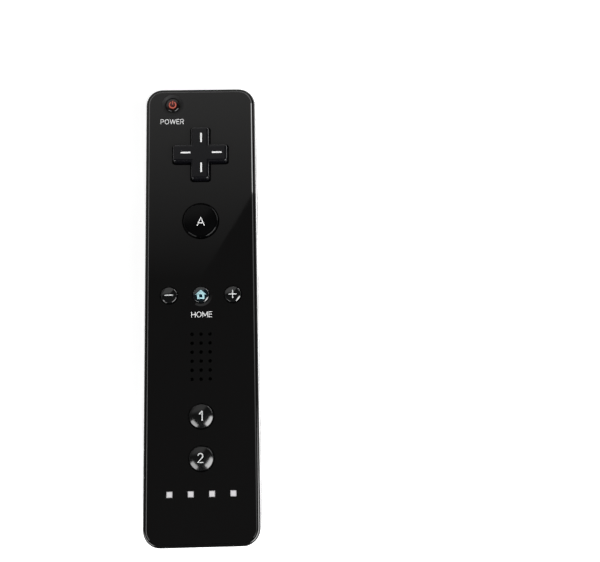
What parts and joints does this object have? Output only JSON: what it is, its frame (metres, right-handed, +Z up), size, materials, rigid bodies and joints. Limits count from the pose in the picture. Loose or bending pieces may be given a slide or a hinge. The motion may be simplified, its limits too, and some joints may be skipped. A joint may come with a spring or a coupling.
{
  "type": "motion controller wand",
  "caption": "Black hand-held motion controller wand: glossy keyed face, cross pad, round keys, finger trigger, speaker grille, infrared window, battery bay and expansion port.",
  "frame": {"origin": "on the resting plane, under the middle of the case", "axes": "+X right, +Y towards the infrared end, +Z up through the keyed face"},
  "size_m": [0.0362, 0.148, 0.0308],
  "materials": {
    "case_gloss": "polished black face shell",
    "case_satin": "satin black under shell",
    "key_gloss": "polished black keys",
    "window_dark": "dark infrared filter",
    "rubber_grey": "silicone rubber",
    "boot_rubber": "soft black rubber",
    "board_green": "green solder mask",
    "chip_black": "moulded chip package",
    "screw_steel": "plated steel",
    "can_steel": "drawn steel can",
    "weight_metal": "sintered heavy metal",
    "contact_spring": "nickel plated sheet",
    "contact_gold": "gold plated strips",
    "cell_jacket": "plain printed cell jacket",
    "lead_wire": "wire insulation",
    "cone_paper": "pressed speaker cone",
    "frame_black": "moulded speaker frame",
    "foam_ring": "foam ring",
    "lens_glass": "small camera lens",
    "guide_pale": "milky light guide",
    "lamp_body": "lamp package",
    "sync_red": "red button",
    "socket_grey": "glass filled socket moulding"
  },
  "bodies": {
    "case": {"upper_shell": "case_gloss", "lower_shell": "case_satin", "infrared_window": "window_dark", "case_screws": "screw_steel", "power_membrane": "rubber_grey", "face_membrane": "rubber_grey", "menu_membrane": "rubber_grey", "digit_membrane": "rubber_grey", "trigger_retainer": "case_satin", "retainer_screws": "screw_steel", "trigger_membrane": "rubber_grey", "main_board": "board_green", "board_screws": "screw_steel", "radio_chip": "chip_black", "radio_shield": "can_steel", "motion_sensor": "chip_black", "memory_chip": "chip_black", "regulator_coil": "chip_black", "clock_crystal": "can_steel", "capacitors": "chip_black", "infrared_camera": "chip_black", "camera_lens": "lens_glass", "rumble_motor": "can_steel", "motor_boot": "boot_rubber", "motor_leads": "lead_wire", "speaker_frame": "frame_black", "speaker_cone": "cone_paper", "speaker_magnet": "can_steel", "speaker_gasket": "foam_ring", "speaker_tabs": "contact_spring", "light_guide": "guide_pale", "indicator_lamps": "lamp_body", "battery_cells": "cell_jacket", "positive_terminal": "contact_spring", "negative_terminal": "contact_spring", "bridge_contact": "contact_spring", "sync_switch": "chip_black", "expansion_socket": "socket_grey", "socket_contacts": "contact_gold"},
    "power_button": {"power_button": "key_gloss"},
    "dpad_pivot": {"dpad_pivot": "case_satin"},
    "dpad": {"dpad": "key_gloss"},
    "a_button": {"a_button": "key_gloss"},
    "minus_button": {"minus_button": "key_gloss"},
    "home_button": {"home_button": "key_gloss"},
    "plus_button": {"plus_button": "key_gloss"},
    "one_button": {"one_button": "key_gloss"},
    "two_button": {"two_button": "key_gloss"},
    "trigger": {"trigger": "case_satin"},
    "battery_cover": {"battery_cover": "case_satin"},
    "sync_button": {"sync_button": "sync_red"},
    "rumble_rotor": {"rumble_rotor": "weight_metal"}
  },
  "joints": [
    {"name": "power_button_press", "type": "slide", "parent": "case", "child": "power_button", "axis": [0, 0, -1], "range_m": [0, 0.0004], "stiffness_N_per_m": 300, "springref_m": -0.0005, "deforming": ["power_membrane"]},
    {"name": "dpad_pitch", "type": "hinge", "parent": "case", "child": "dpad_pivot", "pos_m": [0, 0.0509, 0.025], "axis": [1, 0, 0], "range_deg": [-4, 4], "stiffness_Nm_per_rad": 0.02},
    {"name": "dpad_roll", "type": "hinge", "parent": "dpad_pivot", "child": "dpad", "pos_m": [0, 0.0509, 0.025], "axis": [0, 1, 0], "range_deg": [-4, 4], "stiffness_Nm_per_rad": 0.02},
    {"name": "a_button_press", "type": "slide", "parent": "case", "child": "a_button", "axis": [0, 0, -1], "range_m": [0, 0.001], "stiffness_N_per_m": 300, "springref_m": -0.0005, "deforming": ["face_membrane"]},
    {"name": "minus_button_press", "type": "slide", "parent": "case", "child": "minus_button", "axis": [0, 0, -1], "range_m": [0, 0.0006], "stiffness_N_per_m": 250, "springref_m": -0.0005, "deforming": ["menu_membrane"]},
    {"name": "home_button_press", "type": "slide", "parent": "case", "child": "home_button", "axis": [0, 0, -1], "range_m": [0, 0.0006], "stiffness_N_per_m": 250, "springref_m": -0.0005},
    {"name": "plus_button_press", "type": "slide", "parent": "case", "child": "plus_button", "axis": [0, 0, -1], "range_m": [0, 0.0006], "stiffness_N_per_m": 250, "springref_m": -0.0005},
    {"name": "one_button_press", "type": "slide", "parent": "case", "child": "one_button", "axis": [0, 0, -1], "range_m": [0, 0.0008], "stiffness_N_per_m": 280, "springref_m": -0.0005, "deforming": ["digit_membrane"]},
    {"name": "two_button_press", "type": "slide", "parent": "case", "child": "two_button", "axis": [0, 0, -1], "range_m": [0, 0.0008], "stiffness_N_per_m": 280, "springref_m": -0.0005},
    {"name": "trigger_pull", "type": "hinge", "parent": "case", "child": "trigger", "pos_m": [0, 0.04899, 0.00751], "axis": [-1, 0, 0], "range_deg": [0, 7], "stiffness_Nm_per_rad": 0.08, "springref_deg": -1.72, "deforming": ["trigger_membrane"]},
    {"name": "battery_cover_swing", "type": "hinge", "parent": "case", "child": "battery_cover", "pos_m": [0, 0.00785, 0.0012], "axis": [1, 0, 0], "range_deg": [0, 70]},
    {"name": "sync_button_press", "type": "slide", "parent": "case", "child": "sync_button", "axis": [0, 0, 1], "range_m": [0, 0.0004], "stiffness_N_per_m": 250, "springref_m": -0.0005},
    {"name": "rumble_spin", "type": "hinge", "parent": "case", "child": "rumble_rotor", "pos_m": [0, 0.0165, 0.0163], "axis": [1, 0, 0], "continuous": true}
  ]
}
